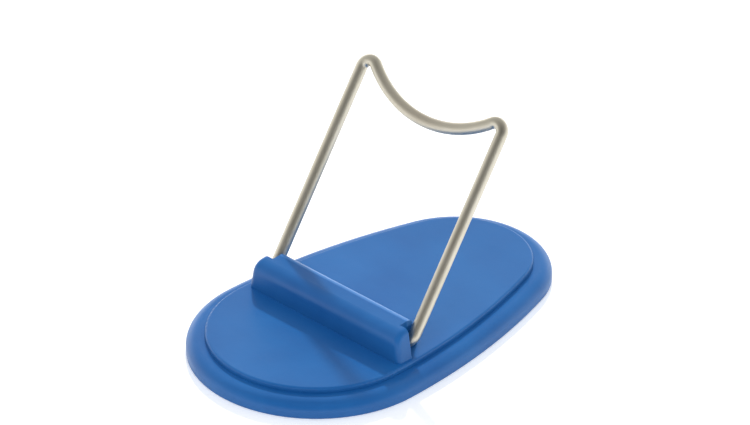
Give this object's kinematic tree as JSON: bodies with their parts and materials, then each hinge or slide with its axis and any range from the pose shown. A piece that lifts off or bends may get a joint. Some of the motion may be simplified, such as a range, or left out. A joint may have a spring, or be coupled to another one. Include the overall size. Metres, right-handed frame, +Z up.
{
  "type": "soldering iron stand",
  "caption": "Small soldering iron stand: a tapered oval moulded base with a cross ridge, and a folding bent wire bracket with a dished rest that turns in the ridge.",
  "frame": {"origin": "on the bench, under the middle of the base's length and width", "axes": "+X along the base to its narrow back end, the way the bracket leans; +Y along the ridge and the bracket's turning axis; +Z up"},
  "size_m": [0.0688, 0.0424, 0.0382],
  "materials": {
    "blue_plastic": "satin moulded",
    "bright_wire": "bright drawn wire"
  },
  "bodies": {
    "base": {"base_plate": "blue_plastic"},
    "bracket": {"wire_bracket": "bright_wire"}
  },
  "joints": [
    {"name": "bracket_fold", "type": "hinge", "parent": "base", "child": "bracket", "pos_m": [-0.00765, 0, 0.0056], "axis": [0, 1, 0], "range_deg": [-37, 56]}
  ]
}
